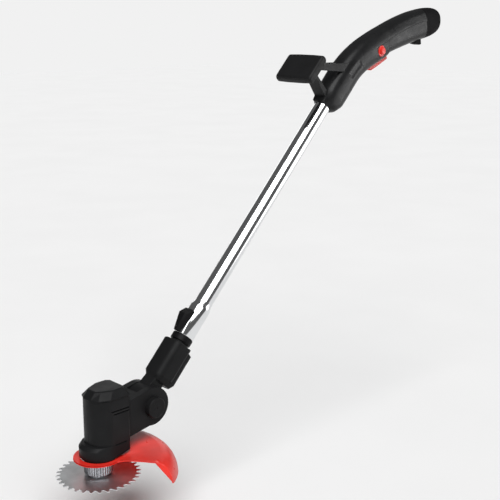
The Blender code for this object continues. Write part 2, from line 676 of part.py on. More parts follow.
def build_base(head, look):
    """Skirt below the motor: a flared foot that carries the bearing and the guard."""
    sizes = ((BASE_LOW, BASE_R - 1.5, 0.0), (BASE_LOW + 2, BASE_R, 0.0), (54.0, BASE_R + 0.5, 0.0))
    rings = []
    body = body_outline(0.0)
    skirt = ((34.2, 0.0), (36.2, 0.2), (41.5, 0.97), (54.0, 0.98), (60.0, 0.98), (BODY_LOW - GAP, 0.98))
    levels = sizes[:2] + ((41.5, BASE_R + 0.2, 0.0),) + sizes[2:]
    levels += ((60.0, BASE_R, 0.45), (BODY_LOW - GAP, BASE_R, 0.97))
    for (level, radius, front_share), (_, rear_share) in zip(levels, skirt):
        ring = []
        for x, y in body:
            rear = min(max((x + 8.0) / 26.0, 0.0), 1.0)
            share = front_share + (rear_share - front_share) * rear * rear * (3.0 - 2.0 * rear)
            angle = math.atan2(y, x - 10.0)
            round_x, round_y = radius * math.cos(angle) + 4.0, radius * math.sin(angle)
            ring.append((round_x + (x - round_x) * share, round_y + (y - round_y) * share, level))
        rings.append(ring)
    base = make_object("motor_base", loft(rings), head, look["head"], -PIVOT)
    profile = [(0.0, 30.0), (30.0, 30.0), (30.0, 46.0), (11.3, 46.0), (11.3, 57.2), (8.0, 57.2)]
    profile += [(8.0, 70.0), (0.0, 70.0)]
    combine(base, make_cutter("base_room_cutter", lathe(profile, 32), head, -PIVOT), "DIFFERENCE")
    slots = [box((14.0, low, 57.9), (38.0, high, 64.0)) for low, high in ((-60.0, -31.2), (31.2, 60.0))]
    combine(base, make_cutter("base_slot_cutter", merge_meshes(slots), head, -PIVOT), "DIFFERENCE")


def build_motor(head, look):
    can = [(8.5, MOTOR_LOW + 3.3), (MOTOR_R, MOTOR_LOW + 3.3), (MOTOR_R, MOTOR_HIGH), (4.0, MOTOR_HIGH)]
    can += [(4.0, MOTOR_HIGH - 1.5), (MOTOR_R - 1.5, MOTOR_HIGH - 1.5)]
    can += [(MOTOR_R - 1.5, MOTOR_LOW + 4.8), (8.5, MOTOR_LOW + 4.8)]
    make_object("motor_can", lathe(can, 28), head, look["steel"], -PIVOT)
    ring = [(SPINDLE_R + 0.05, 50.0), (11.0, 50.0), (11.0, 57.0), (SPINDLE_R + 0.05, 57.0)]
    make_object("spindle_bearing", lathe(ring, 28), head, look["steel"], -PIVOT)


def build_spindle(head, look):
    """Everything that turns with the blade."""
    frame = make_empty("spindle_axis", -PIVOT, head)
    shaft = [(0.0, -15.0), (SPINDLE_R, -15.0), (SPINDLE_R, 62.0), (2.5, 62.0), (2.5, 126.0), (0.0, 126.0)]
    make_object("spindle_shaft", lathe(shaft, 28), frame, look["steel"])
    rotor = [(2.6, 76.0), (12.5, 76.0), (14.2, 80.0), (14.2, 112.0), (12.5, 116.0), (2.6, 116.0)]
    make_object("motor_rotor", lathe(rotor, 20), frame, look["copper"])
    hub = make_object("knurled_flange", loft(hub_rings()), frame, look["knurl"])
    bore = make_cutter("hub_bore_cutter", disc(SPINDLE_R + 0.02, 0, 40, 28), frame)
    combine(hub, bore, "DIFFERENCE")
    washer = [(SPINDLE_R + 0.02, 0.82), (19.0, 0.82), (19.0, HUB_LOW - 0.02), (SPINDLE_R + 0.02, HUB_LOW - 0.02)]
    make_object("inner_washer", lathe(washer, 28), frame, look["steel"])
    outer = [(SPINDLE_R + 0.02, -3.2), (13.0, -3.2), (14.0, -0.82), (SPINDLE_R + 0.02, -0.82)]
    make_object("outer_washer", lathe(outer, 28), frame, look["steel"])
    corners = arc((0.0, 0.0), 9.5, 0, 300, 5)
    nut = make_object("blade_nut", prism(corners, -10.4, -3.25), frame, look["steel"])
    nut_bore = make_cutter("nut_bore_cutter", disc(SPINDLE_R + 0.02, -20, 0, 28), frame)
    combine(nut, nut_bore, "DIFFERENCE")
    blade = make_object("saw_blade", prism(blade_outline(), -BLADE_HALF, BLADE_HALF), frame, look["blade"])
    blade_bore = make_cutter("blade_bore_cutter", disc(BLADE_BORE_R, -5, 5, 28), frame)
    combine(blade, blade_bore, "DIFFERENCE")


def hub_rings():
    """A round flange whose rim carries shallow upright grooves."""
    grooves = 36
    rings = []
    for level, radius in ((HUB_LOW, HUB_R - 1.4), (HUB_LOW + 1.4, HUB_R), (HUB_HIGH, HUB_R)):
        ring = []
        for step in range(grooves * 2):
            angle = math.pi * step / grooves
            reach = radius - (0.9 if step % 2 else 0.0)
            ring.append((reach * math.cos(angle), reach * math.sin(angle), level))
        rings.append(ring)
    return rings


def blade_outline():
    """Hooked teeth, each with a steep face, a tip and a curved gullet."""
    points = []
    pitch = 2 * math.pi / BLADE_TEETH
    steps = ((0.0, BLADE_R), (0.22, BLADE_R - 1.1), (0.36, 70.6), (0.52, BLADE_ROOT_R + 0.5))
    steps += ((0.7, BLADE_ROOT_R - 0.2), (0.86, BLADE_ROOT_R + 0.8))
    for tooth in range(BLADE_TEETH):
        for share, radius in steps:
            angle = -(tooth + share) * pitch
            points.append((radius * math.cos(angle), radius * math.sin(angle)))
    return list(reversed(points))


def guard_profile():
    """Top side of the guard's fan, from the ring to the rim, as (radius, height)."""
    rim = [(GUARD_BEND_R, GUARD_TOP)]
    for step in range(1, 7):
        angle = math.radians(90 - step * 14)
        rim.append((GUARD_BEND_R + (GUARD_R - GUARD_BEND_R) * math.cos(angle), GUARD_RIM + (GUARD_TOP - GUARD_RIM) * math.sin(angle)))
    return [(31.0, GUARD_TOP - 5.0), (44.0, GUARD_TOP - 4.5), (58.0, GUARD_TOP - 1.5), (85.0, GUARD_TOP)] + rim


def guard_edge_limit(angle):
    """Share of the full radius that the guard reaches at an angle: the fan, eased into the front ring."""
    ease = math.radians(20)
    over = max(GUARD_FROM - angle, angle - GUARD_TO, 0.0)
    return max(0.0, 1.0 - over / ease) ** 3


def build_guard(head, look):
    profile = guard_profile()
    span = math.radians(20)
    angles = [GUARD_FROM - span * (1 - k / 8) for k in range(8)]
    angles += [GUARD_FROM + (GUARD_TO - GUARD_FROM) * k / 18 for k in range(19)]
    for tip, turn in ((GUARD_FROM, -1), (GUARD_TO, 1)):
        end = tip + turn * GUARD_TIP_END
        angles += [end - turn * GUARD_TIP_TURN * share for share in (1.0, 0.8, 0.6, 0.42, 0.27, 0.15, 0.06, 0.01)]
    angles += [GUARD_TO + span * k / 8 for k in range(1, 9)]
    left = 2 * math.pi - (angles[-1] - angles[0])
    angles += [angles[-1] + left * k / 18 for k in range(1, 18)]
    angles.sort()
    mesh_data = bmesh.new()
    columns = []
    for angle in angles:
        wrapped = angle if angle < math.pi else angle - 2 * math.pi
        share = guard_edge_limit(wrapped)
        edge = GUARD_RING_R + (GUARD_R + 60 - GUARD_RING_R) * share
        floor = tip_height(wrapped)
        column = []
        for radius, height in profile:
            reach = min(radius, edge)
            level = height if radius <= edge else profile_height(profile, edge)
            if level < floor:
                reach, level = rim_radius(floor), floor
            column.append((reach, level))
        columns.append((angle, column))
    top, bottom = [], []
    for angle, column in columns:
        under = [(r - GUARD_THICK * lean, z - GUARD_THICK * drop) for (r, z), (lean, drop) in
                 zip(column, guard_normals(profile))]
        top.append([mesh_data.verts.new((r * math.cos(angle), r * math.sin(angle), z)) for r, z in column])
        bottom.append([mesh_data.verts.new((r * math.cos(angle), r * math.sin(angle), z)) for r, z in under])
    count = len(profile)
    total = len(columns)
    for index in range(total):
        after = (index + 1) % total
        for step in range(count - 1):
            mesh_data.faces.new((top[index][step], top[index][step + 1], top[after][step + 1], top[after][step]))
            mesh_data.faces.new(
                (bottom[index][step], bottom[after][step], bottom[after][step + 1], bottom[index][step + 1])
            )
        mesh_data.faces.new((top[index][-1], bottom[index][-1], bottom[after][-1], top[after][-1]))
        mesh_data.faces.new((top[index][0], top[after][0], bottom[after][0], bottom[index][0]))
    guard = make_object("blade_guard", mesh_data, head, look["red"], -PIVOT)
    base = bpy.data.objects["motor_base"]
    for number in range(1, 4):
        angle = GUARD_SCREW_STEP * (number - 2)
        spot = (GUARD_SCREW_R * math.cos(angle), GUARD_SCREW_R * math.sin(angle))
        hole = make_cutter("guard_hole_{}".format(number), disc(1.9, 20, 44, 12, "Z", spot), head, -PIVOT)
        combine(guard, hole, "DIFFERENCE")
        combine(base, hole, "DIFFERENCE")
        screw = [(0.0, 27.6), (3.0, 27.6), (3.0, 30.4), (1.6, 30.4), (1.6, 43.0), (0.0, 43.0)]
        make_object("guard_screw_{}".format(number), lathe(screw, 12, "Z", spot), head, look["steel"], -PIVOT)


def profile_height(profile, radius):
    for (low_r, low_z), (high_r, high_z) in zip(profile, profile[1:]):
        if low_r <= radius <= high_r:
            return low_z + (high_z - low_z) * (radius - low_r) / (high_r - low_r)
    return profile[-1][1]


def tip_height(angle):
    """Lowest level of the rim at an angle: the bottom edge, rounded up towards each tip."""
    over = max(GUARD_FROM - angle, angle - GUARD_TO)
    along = min(max((over - GUARD_TIP_END) / GUARD_TIP_TURN + 1.0, 0.0), 1.0)
    return GUARD_RIM + GUARD_TIP_R * (1.0 - math.sqrt(1.0 - along * along))


def rim_radius(level):
    """Radius of the turned-down rim at a level."""
    rise = min((level - GUARD_RIM) / (GUARD_TOP - GUARD_RIM), 1.0)
    return GUARD_BEND_R + (GUARD_R - GUARD_BEND_R) * math.sqrt(1.0 - rise * rise)


def guard_normals(profile):
    """Outward direction of the guard's top side at each profile point."""
    directions = []
    for index in range(len(profile)):
        low = profile[max(index - 1, 0)]
        high = profile[min(index + 1, len(profile) - 1)]
        run, fall = high[0] - low[0], low[1] - high[1]
        length = math.hypot(run, fall)
        directions.append((fall / length, run / length))
    return directions


def build_pivot(head, look):
    center = (PIVOT.x, PIVOT.z)
    pin = lathe([(0.0, -16.5), (PIN_R, -16.5), (PIN_R, 23.3), (9.0, 23.3), (9.0, 27.6), (0.0, 27.6)], 24, "Y", center)
    make_object("tilt_pin", pin, head, look["steel"], -PIVOT)
    profile = [(0.0, -KNOB_FACE + 1.0), (2.0, -KNOB_FACE + 1.0), (2.0, -KNOB_FACE), (13.0, -KNOB_FACE + 0.6)]
    profile += [(14.0, -KNOB_FACE), (KNOB_R - 1.2, -KNOB_FACE), (KNOB_R, -KNOB_FACE + 1.2)]
    profile += [(KNOB_R, -23.8), (6.5, -23.8), (6.5, -27.5), (0.0, -27.5)]
    make_object("tilt_button", lathe(profile, 36, "Y", center), head, look["knob"], -PIVOT)
    spring = coil(12.0, 0.8, -23.6, -17.7, 2, "Y", center)
    make_object("tilt_spring", spring, head, look["steel"], -PIVOT)


def build_all():
    clear_scene()
    look = {
        "handle": make_material("handle_plastic", (0.012, 0.0122, 0.0128), 0.0, 0.42),
        "tail": make_material("tail_plastic", (0.01, 0.01, 0.0106), 0.0, 0.5),
        "pad": make_material("grip_rubber", (0.0085, 0.0085, 0.009), 0.0, 0.62),
        "bracket": make_material("bracket_plastic", (0.013, 0.0132, 0.0138), 0.0, 0.45),
        "yoke": make_material("yoke_plastic", (0.0115, 0.0118, 0.0122), 0.0, 0.42),
        "head": make_material("head_plastic", (0.012, 0.0122, 0.0128), 0.0, 0.4),
        "knob": make_material("knob_plastic", (0.0105, 0.0105, 0.011), 0.0, 0.45),
        "latch": make_material("latch_plastic", (0.007, 0.007, 0.0075), 0.0, 0.5),
        "collar": make_material("collar_plastic", (0.0065, 0.0065, 0.007), 0.0, 0.4),
        "red": make_material("red_plastic", (0.72, 0.03, 0.02), 0.0, 0.38),
        "chrome": make_material("chrome_tube", (0.78, 0.79, 0.8), 1.0, 0.08),
        "steel": make_material("plain_steel", (0.5, 0.5, 0.52), 1.0, 0.35),
        "knurl": make_material("knurled_steel", (0.36, 0.36, 0.38), 1.0, 0.32),
        "blade": make_material("blade_steel", (0.62, 0.63, 0.64), 1.0, 0.28),
        "copper": make_material("winding_copper", (0.5, 0.2, 0.08), 1.0, 0.45),
        "cell": make_material("cell_wrap", (0.08, 0.25, 0.3), 0.0, 0.4),
        "board": make_material("circuit_board", (0.02, 0.14, 0.06), 0.0, 0.5),
        "dark": make_material("insert_plastic", (0.008, 0.008, 0.0085), 0.0, 0.55),
        "lead": make_material("lead_jacket", (0.0065, 0.0065, 0.007), 0.0, 0.6),
    }
    tool = make_empty("tool_frame", -GRIP_POINT)
    shaft = make_empty("shaft_frame", PIVOT, tool, math.pi / 2 - SHAFT_ANGLE)
    head = make_empty("head_tilt_axis", PIVOT, tool)
    build_handle(tool, look)
    build_shaft(shaft, look)
    build_latch(shaft, look)
    build_front_grip(shaft, tool, look)
    build_yoke(shaft, look)
    build_body(head, look)
    build_base(head, look)
    build_motor(head, look)
    build_spindle(head, look)
    build_guard(head, look)
    build_pivot(head, look)


build_all()
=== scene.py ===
import json
import math

import bmesh
import bpy
from mathutils import Matrix, Vector

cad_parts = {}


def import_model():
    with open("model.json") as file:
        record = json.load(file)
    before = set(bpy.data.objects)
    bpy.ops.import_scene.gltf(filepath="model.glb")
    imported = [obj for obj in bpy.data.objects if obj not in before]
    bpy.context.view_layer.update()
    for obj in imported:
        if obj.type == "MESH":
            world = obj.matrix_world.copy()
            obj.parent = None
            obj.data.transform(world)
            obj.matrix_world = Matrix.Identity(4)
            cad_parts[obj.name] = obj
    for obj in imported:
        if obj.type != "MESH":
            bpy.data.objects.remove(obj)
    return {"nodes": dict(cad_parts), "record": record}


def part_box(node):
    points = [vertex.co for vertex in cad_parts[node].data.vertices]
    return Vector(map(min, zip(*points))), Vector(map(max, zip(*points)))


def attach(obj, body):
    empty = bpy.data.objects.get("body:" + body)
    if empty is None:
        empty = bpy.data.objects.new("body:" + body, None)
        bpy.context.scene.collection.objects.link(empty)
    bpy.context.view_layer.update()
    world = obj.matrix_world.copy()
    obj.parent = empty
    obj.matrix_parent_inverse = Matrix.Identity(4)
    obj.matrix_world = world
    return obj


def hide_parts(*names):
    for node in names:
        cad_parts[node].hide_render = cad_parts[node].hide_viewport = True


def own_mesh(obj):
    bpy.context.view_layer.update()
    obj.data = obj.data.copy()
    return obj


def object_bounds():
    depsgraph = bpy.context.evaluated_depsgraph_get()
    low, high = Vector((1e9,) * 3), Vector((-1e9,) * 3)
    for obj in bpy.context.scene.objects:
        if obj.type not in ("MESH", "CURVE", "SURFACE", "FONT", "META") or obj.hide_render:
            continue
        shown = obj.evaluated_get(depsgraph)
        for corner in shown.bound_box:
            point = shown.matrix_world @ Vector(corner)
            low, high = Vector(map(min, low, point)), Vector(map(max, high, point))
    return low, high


MM = 0.001
SMOOTH_ANGLE = math.radians(34)
FLAT_ANGLE = math.radians(0.6)
MERGE_DISTANCE = 1e-6

# Rounded edges: width in millimetres by CAD node, and the angle from which an edge is rounded
BEVEL_SEGMENTS = 3
BEVEL_NORMAL_WEIGHT = 100
EDGE_ANGLE = 38.0
CAP_EDGE_ANGLE = 20.0
EDGE_WIDTHS = {
    "front_grip_bracket": 1.2, "latch_rocker": 1.0, "yoke_front_shell": 1.4, "yoke_rear_cover": 1.2,
    "motor_body_left": 0.5, "motor_body_right": 0.5, "motor_top_cap": 0.9, "motor_base": 0.25,
    "tilt_button": 0.7, "trigger": 1.4, "lock_off_button": 0.4, "battery_catch": 1.0, "front_grip_pad": 1.2,
    "blade_nut": 0.4, "outer_washer": 0.2, "saw_blade": 0.15, "knurled_flange": 0.3, "socket_collar": 0.5,
    "blade_guard": 0.9,
}

# Path of the curved handle, in millimetres from the blade's centre. A section is a distance along the path,
# then the half width, the height up and the height down there.
SHAFT_ANGLE = math.radians(46.4)
PIVOT = Vector((104.0, 0.0, 103.7))
HANDLE_START_S = 696.0
HANDLE_DROP = 3.0
HANDLE_STRAIGHT = 79.0
HANDLE_ARCS = ((215.0, math.radians(22.0)), (800.0, math.radians(19.0)))
HANDLE_END = 372.0
HANDLE_WALL = 2.6
HANDLE_SQUARE = 2.5
HALF_GAP = 0.15
TUBE_SEAT_R = 16.8
TUBE_SEAT_END = 62.0
HANDLE_SECTIONS = (
    (0.0, 18.4, 18.4, 18.4), (4.0, 21.0, 21.0, 21.5), (14.0, 24.5, 27.0, 26.5),
    (30.0, 27.0, 31.0, 33.0), (80.0, 27.0, 31.5, 33.5), (110.0, 26.5, 31.0, 32.5),
    (140.0, 26.0, 31.0, 33.0), (170.0, 25.5, 32.0, 34.0), (205.0, 25.0, 32.0, 34.5),
    (226.0, 24.5, 32.0, 33.5), (238.0, 24.0, 32.0, 30.5), (280.0, 24.0, 33.0, 32.0),
    (330.0, 24.0, 34.0, 33.0), (372.0, 23.5, 33.5, 33.0),
)
TAIL_SECTIONS = (
    (372.3, 23.5, 33.5, 33.0), (394.0, 23.0, 32.5, 32.0), (411.0, 21.5, 30.5, 29.5),
    (426.0, 18.5, 26.5, 25.0), (437.5, 13.5, 20.0, 18.0), (444.5, 8.0, 12.0, 10.5), (447.0, 3.5, 5.5, 5.0),
)

# Moulded detail on the handle's side, placed along the handle in millimetres and across it from -1 to 1
PANEL_DEPTH = 1.7
PANEL_START = (150.0, 215.0)
PANEL_END = (345.0, 402.0)
PANEL_LOWER_EDGE = (-0.86, -0.25)
CREASE_HEIGHT = 0.10
CREASE_LIFT = 0.16
CREASE_SPAN = (170.0, 330.0)
CREASE_WIDTH = 0.07
SEAM_DEPTH = 0.5
SEAM_PLACE = 133.0
SEAM_LEAN = 14.0
SEAM_WIDTH = 0.9
RELIEF_SIDE = (0.55, 0.9)
PLATE_REACH = 0.952
PLATE_START = (82.0, 83.5)
PLATE_END = (124.0, 125.5)
PLATE_LOWER_EDGE = (-0.14, -0.08)
PLATE_UPPER_EDGE = (0.26, 0.32)

# Rings of the handle's skin and of its hollow
HANDLE_SIDES = 112
MOUTH_STATIONS = (0.0, 1.5, 4.0, 8.0)
STATION_START = 12.0
STATION_STEP = 1.5
STATION_COUNT = 241
MOUTH_ROUND_END = 8.0
ROUND_SQUARE = 2.0
HOLLOW_SIDES = 56
TUBE_SEAT_START = -2.0
HOLLOW_START = 63.0
HOLLOW_RING_START = 70.0
HOLLOW_RING_STEP = 12.0
HOLLOW_RING_COUNT = 26
HOLLOW_END = 375.0
TAIL_RINGS = 40

# Openings in the handle: place along and across the path, then the cutter's size there
SHELL_REACH = 60.0
SHELL_X = (400.0, 1200.0)
SHELL_Z = (400.0, 1000.0)
TRIGGER_PLACE = (166.0, -27.0)
TRIGGER_CUT = ((-2.0, -9.1, -30.0), (64.0, 9.1, 6.0))
BUTTON_PLACE = (199.0, -9.0)
BUTTON_CUT = (11.9, -60.0, -10.0)
CATCH_PLACE = (354.0, 0.0)
CATCH_CUT = ((-13.0, -9.0, -50.0), (13.0, 9.0, -24.0))
TAIL_SLOT_PLACE = (392.0, 0.0)
TAIL_SLOT_CUT = ((8.0, -40.0, -13.0), (27.0, -21.4, -10.6))
ROD_SIDES = 64

# Radius and height of the tube's outline, from its flared socket up
TUBE_WALL = 1.2
TUBE_SIDES = 160
TUBE_OUTLINE = (
    (19.4, 142.0), (19.8, 142.6), (19.8, 203.0), (19.5, 205.2), (18.9, 207.4), (18.0, 210.4), (17.2, 213.4),
    (16.7, 216.0), (16.5, 218.5), (16.5, 757.6), (16.1, 758.0),
)

# Finishes: noise scale and detail, then the low and high end of what the noise drives
NOISE_RANGE = (0.3, 0.7)
WORN_RANGE = (0.56, 0.68)
WORN_GAIN = 1.6
WORN_LIFT = 0.004
MOULDED_SHADE = (22.0, 3.0, 0.86, 1.16)
MOULDED_GLOSS = (60.0, 5.0, -0.05, 0.07)
MOULDED_GRAIN_DETAIL = 3.0
METAL_SHADE = (35.0, 4.0, 0.88, 1.08)
METAL_LINE_DETAIL = 3.0
METAL_GLOSS = (-0.06, 0.08)
METAL_LINE_DEPTH = 0.00008
CHROME_SHADE = (14.0, 3.0, 0.96, 1.03)
CHROME_GLOSS = (90.0, 5.0, 0.09, 0.16)
CHROME_RIPPLE = (700.0, 2.0, 0.012, 0.00004)
TURNED_SHADE = (40.0, 4.0, 0.85, 1.08)
TURNED_RINGS = (1900.0, 2.0)
TURNED_GLOSS = (-0.09, 0.1)
TURNED_RING_DEPTH = (0.14, 0.00006)

# Floor, light and camera
FLOOR_DROP = 0.11
FLOOR_REACH = 12.0
FLOOR_COLOR = (0.9, 0.9, 0.9)
FLOOR_ROUGHNESS = 0.9
FLOOR_SHADE = (3.0, 2.0, 0.99, 1.01)
BACKDROP_COLOR = (0.88, 0.88, 0.88)
ROOM_COLOR = (0.11, 0.11, 0.11)
SUN_DIRECTION = (0.35, 0.55, -1.0)
SUN_STRENGTH = 3.25
SUN_SPREAD = 50.0
TOOL_MIDDLE = (-0.4, 0.0, -0.35)
# Name, place, target, width and height, power
CARDS = (
    ("key", (-0.9, -2.6, 1.7), TOOL_MIDDLE, (0.9, 1.6), 12.0),
    ("side", (2.3, -1.5, 0.5), TOOL_MIDDLE, (0.35, 2.2), 12.0),
    ("front", (-2.8, -0.7, 0.9), TOOL_MIDDLE, (0.35, 2.0), 9.0),
    ("handle_card", (0.44, -0.68, -0.25), (-0.25, 0.0, -0.15), (0.7, 0.7), 3.4),
    ("blade_card", (1.2, 2.07, 0.0), (-0.835, 0.0, -0.754), (2.2, 0.9), 9.0),
)
CAMERA_LENS = 68.4
CAMERA_SENSOR = 36.0
CAMERA_AZIMUTH = math.radians(-45.2)
CAMERA_ELEVATION = math.radians(13.9)
CAMERA_ROLL = math.radians(0.32)
CAMERA_PLACE = (-904.367, -1272.654, 789.184)

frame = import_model()
cad_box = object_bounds()
nodes = frame["nodes"]
record = frame["record"]
joints = {joint["name"]: joint for joint in record["behaviour"]["joints"]}
# The spindle joint stands at the blade's centre, which is the origin of the millimetre frame above.
ORIGIN = Vector(joints["spindle_spin"]["pos_m"])
body_of_node = {node: body for body, held in record["behaviour"]["bodies"].items() for node in held}
slot_of_node = {entry["node"]: entry["material_slot"] for entry in record["subparts"]}


def world(point):
    """A point of the millimetre frame, in metres in the row frame."""
    return ORIGIN + Vector(point) * MM


def smooth(value, low, high):
    """Rises from 0 at low to 1 at high, level at both ends."""
    share = min(max((value - low) / (high - low), 0.0), 1.0)
    return share * share * (3.0 - 2.0 * share)


# Materials

class Surface:
    """A Principled material with its colour, roughness and bump made by nodes in the object's own space."""

    def __init__(self, name, color, metallic, roughness):
        self.material = bpy.data.materials.new(name)
        self.material.use_nodes = True
        self.tree = self.material.node_tree
        self.shader = self.tree.nodes["Principled BSDF"]
        self.color = color
        self.shader.inputs["Base Color"].default_value = (*color, 1.0)
        self.shader.inputs["Metallic"].default_value = metallic
        self.shader.inputs["Roughness"].default_value = roughness
        self.place = self.tree.nodes.new("ShaderNodeTexCoord").outputs["Object"]
        self.height = None

    def link(self, source, target):
        self.tree.links.new(source, target)

    def noise(self, scale, detail=4.0, stretch=(1.0, 1.0, 1.0), vector=None):
        mapping = self.tree.nodes.new("ShaderNodeMapping")
        mapping.inputs["Scale"].default_value = stretch
        self.link(vector or self.place, mapping.inputs["Vector"])
        node = self.tree.nodes.new("ShaderNodeTexNoise")
        node.inputs["Scale"].default_value = scale
        node.inputs["Detail"].default_value = detail
        self.link(mapping.outputs["Vector"], node.inputs["Vector"])
        return node.outputs["Fac"]

    def spread(self, value, low, high, span=NOISE_RANGE):
        """Stretches the part of value inside span to run from low to high."""
        node = self.tree.nodes.new("ShaderNodeMapRange")
        node.inputs["From Min"].default_value = span[0]
        node.inputs["From Max"].default_value = span[1]
        node.inputs["To Min"].default_value = low
        node.inputs["To Max"].default_value = high
        self.link(value, node.inputs["Value"])
        return node.outputs["Result"]

    def rough(self, value, low, high):
        self.link(self.spread(value, low, high), self.shader.inputs["Roughness"])

    def tint(self, value, low, high):
        """Shades the base colour between two strengths of itself."""
        ramp = self.tree.nodes.new("ShaderNodeValToRGB")
        for element, position, share in zip(ramp.color_ramp.elements, NOISE_RANGE, (low, high)):
            element.position = position
            element.color = (*[min(part * share, 1.0) for part in self.color], 1.0)
        self.link(value, ramp.inputs["Fac"])
        self.link(ramp.outputs["Color"], self.shader.inputs["Base Color"])
        return ramp.outputs["Color"]

    def worn(self, base, color, strength):
        """Lightens the outer edges, where handling polishes them."""
        point = self.tree.nodes.new("ShaderNodeNewGeometry").outputs["Pointiness"]
        share = self.spread(point, 0.0, strength, WORN_RANGE)
        mix = self.tree.nodes.new("ShaderNodeMix")
        mix.data_type = "RGBA"
        self.link(share, mix.inputs["Factor"])
        self.link(base, mix.inputs["A"])
        mix.inputs["B"].default_value = (*color, 1.0)
        self.link(mix.outputs["Result"], self.shader.inputs["Base Color"])

    def bump(self, value, strength, distance):
        node = self.tree.nodes.new("ShaderNodeBump")
        node.inputs["Strength"].default_value = strength
        node.inputs["Distance"].default_value = distance
        self.link(value, node.inputs["Height"])
        if self.height:
            self.link(self.height, node.inputs["Normal"])
        self.height = node.outputs["Normal"]
        self.link(self.height, self.shader.inputs["Normal"])


def moulded(name, color, roughness, grain=1500.0, depth=0.00012, strength=0.18, edge=0.35, gloss=0.08):
    """Moulded plastic: a fine spark texture, slow gloss changes and rubbed edges."""
    look = Surface(name, color, 0.0, roughness)
    look.shader.inputs["Specular IOR Level"].default_value = gloss
    scale, detail, low, high = MOULDED_SHADE
    base = look.tint(look.noise(scale, detail), low, high)
    look.worn(base, [min(part * WORN_GAIN + WORN_LIFT, 1.0) for part in color], edge)
    scale, detail, low, high = MOULDED_GLOSS
    look.rough(look.noise(scale, detail), roughness + low, roughness + high)
    look.bump(look.noise(grain, MOULDED_GRAIN_DETAIL), strength, depth)
    return look.material


def metal(name, color, roughness, stretch=(1.0, 1.0, 18.0), scale=260.0, strength=0.08):
    """Drawn metal with fine lines."""
    look = Surface(name, color, 1.0, roughness)
    shade_scale, shade_detail, low, high = METAL_SHADE
    look.tint(look.noise(shade_scale, shade_detail), low, high)
    lines = look.noise(scale, METAL_LINE_DETAIL, stretch)
    look.rough(lines, roughness + METAL_GLOSS[0], roughness + METAL_GLOSS[1])
    look.bump(lines, strength, METAL_LINE_DEPTH)
    return look.material


def chrome(name, color, roughness):
    """Bright plating with a faint ripple."""
    look = Surface(name, color, 1.0, roughness)
    scale, detail, low, high = CHROME_SHADE
    look.tint(look.noise(scale, detail), low, high)
    scale, detail, low, high = CHROME_GLOSS
    look.rough(look.noise(scale, detail), low, high)
    scale, detail, strength, depth = CHROME_RIPPLE
    look.bump(look.noise(scale, detail), strength, depth)
    return look.material


def turned(name, color, roughness):
    """Ground steel with rings about the spindle."""
    look = Surface(name, color, 1.0, roughness)
    shift = look.tree.nodes.new("ShaderNodeVectorMath")
    shift.operation = "SUBTRACT"
    shift.inputs[1].default_value = ORIGIN
    look.link(look.place, shift.inputs[0])
    flat = look.tree.nodes.new("ShaderNodeVectorMath")
    flat.operation = "MULTIPLY"
    flat.inputs[1].default_value = (1.0, 1.0, 0.0)
    look.link(shift.outputs["Vector"], flat.inputs[0])
    reach = look.tree.nodes.new("ShaderNodeVectorMath")
    reach.operation = "LENGTH"
    look.link(flat.outputs["Vector"], reach.inputs[0])
    join = look.tree.nodes.new("ShaderNodeCombineXYZ")
    look.link(reach.outputs["Value"], join.inputs["X"])
    rings = look.noise(*TURNED_RINGS, vector=join.outputs["Vector"])
    scale, detail, low, high = TURNED_SHADE
    look.tint(look.noise(scale, detail), low, high)
    look.rough(rings, roughness + TURNED_GLOSS[0], roughness + TURNED_GLOSS[1])
    look.bump(rings, *TURNED_RING_DEPTH)
    return look.material


# Maker, roughness and whatever differs from the maker's usual finish, by material slot
FINISHES = {
    "handle_plastic": (moulded, 0.3, {"gloss": 0.15}),
    "tail_plastic": (moulded, 0.46, {"gloss": 0.02}),
    "grip_rubber": (moulded, 0.58, {
        "grain": 900.0, "depth": 0.0003, "strength": 0.4, "edge": 0.15, "gloss": 0.2}),
    "bracket_plastic": (moulded, 0.36, {"gloss": 0.1}),
    "yoke_plastic": (moulded, 0.42, {}),
    "head_plastic": (moulded, 0.4, {}),
    "knob_plastic": (moulded, 0.44, {}),
    "latch_plastic": (moulded, 0.5, {}),
    "collar_plastic": (moulded, 0.4, {}),
    "red_plastic": (moulded, 0.32, {
        "grain": 1100.0, "depth": 0.00006, "strength": 0.1, "edge": 0.2, "gloss": 0.34}),
    "chrome_tube": (chrome, 0.06, {}),
    "plain_steel": (metal, 0.32, {}),
    "knurled_steel": (metal, 0.3, {"stretch": (1.0, 1.0, 0.2), "scale": 500.0, "strength": 0.2}),
    "blade_steel": (turned, 0.4, {}),
    "winding_copper": (metal, 0.4, {"stretch": (1.0, 1.0, 60.0), "scale": 120.0, "strength": 0.5}),
    "cell_wrap": (moulded, 0.36, {}),
    "circuit_board": (moulded, 0.44, {}),
    "insert_plastic": (moulded, 0.5, {}),
    "lead_jacket": (moulded, 0.55, {}),
}
slot_color = {entry["slot"]: entry["base_color"] for entry in record["materials"]}
materials = {slot: maker(slot + "_look", slot_color[slot], roughness, **changes)
             for slot, (maker, roughness, changes) in FINISHES.items()}
for name, item in nodes.items():
    item.data.materials.clear()
    item.data.materials.append(materials[slot_of_node[name]])


# Pieces

def place(name, mesh_data, stands_for):
    """Makes a visible piece that stands for CAD nodes and moves with their body."""
    mesh = bpy.data.meshes.new(name)
    mesh_data.to_mesh(mesh)
    mesh_data.free()
    piece = bpy.data.objects.new(name, mesh)
    bpy.context.scene.collection.objects.link(piece)
    slot = slot_of_node[stands_for[0]]
    mesh.materials.append(materials[slot])
    mesh.shade_smooth()
    mesh.set_sharp_from_angle(angle=SMOOTH_ANGLE)
    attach(piece, body_of_node[stands_for[0]])
    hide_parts(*stands_for)
    return piece


